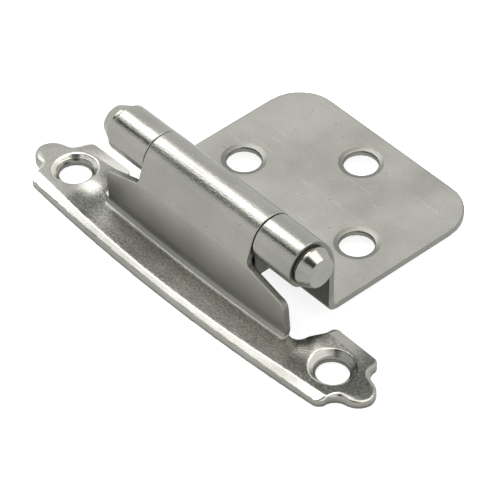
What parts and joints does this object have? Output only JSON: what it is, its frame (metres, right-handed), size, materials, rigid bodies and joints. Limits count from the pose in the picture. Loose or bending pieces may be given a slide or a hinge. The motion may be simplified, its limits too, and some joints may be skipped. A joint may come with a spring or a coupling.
{
  "type": "self-closing overlay cabinet hinge",
  "caption": "Face-mount cabinet hinge whose sprung pin closes an overlay door: a decorative wing screws to the face frame and a plain plate to the back of the door.",
  "frame": {"origin": "midway between the frame wing's two screw holes, in the plane of the cabinet frame's face that the wing's rim sits on", "axes": "+X along the pin, +Y from the frame wing across the pin to the door plate, +Z out of the cabinet frame's face"},
  "size_m": [0.0706, 0.0445, 0.0172],
  "materials": {
    "wing_nickel": "satin nickel plate on steel sheet",
    "plate_nickel": "satin nickel plate on steel sheet, finely mottled",
    "pin_nickel": "bright nickel plate on turned steel",
    "spring_steel": "plain tempered spring steel"
  },
  "bodies": {
    "frame": {"frame_wing": "wing_nickel", "closing_spring": "spring_steel"},
    "door": {"door_wing": "plate_nickel", "hinge_pin": "pin_nickel"}
  },
  "joints": [
    {"name": "door_swing", "type": "hinge", "parent": "frame", "child": "door", "pos_m": [0, 0.0031, 0.0134], "axis": [1, 0, 0], "range_deg": [0, 180], "stiffness_Nm_per_rad": 0.03, "springref_deg": -22.92, "deforming": ["closing_spring"]}
  ]
}
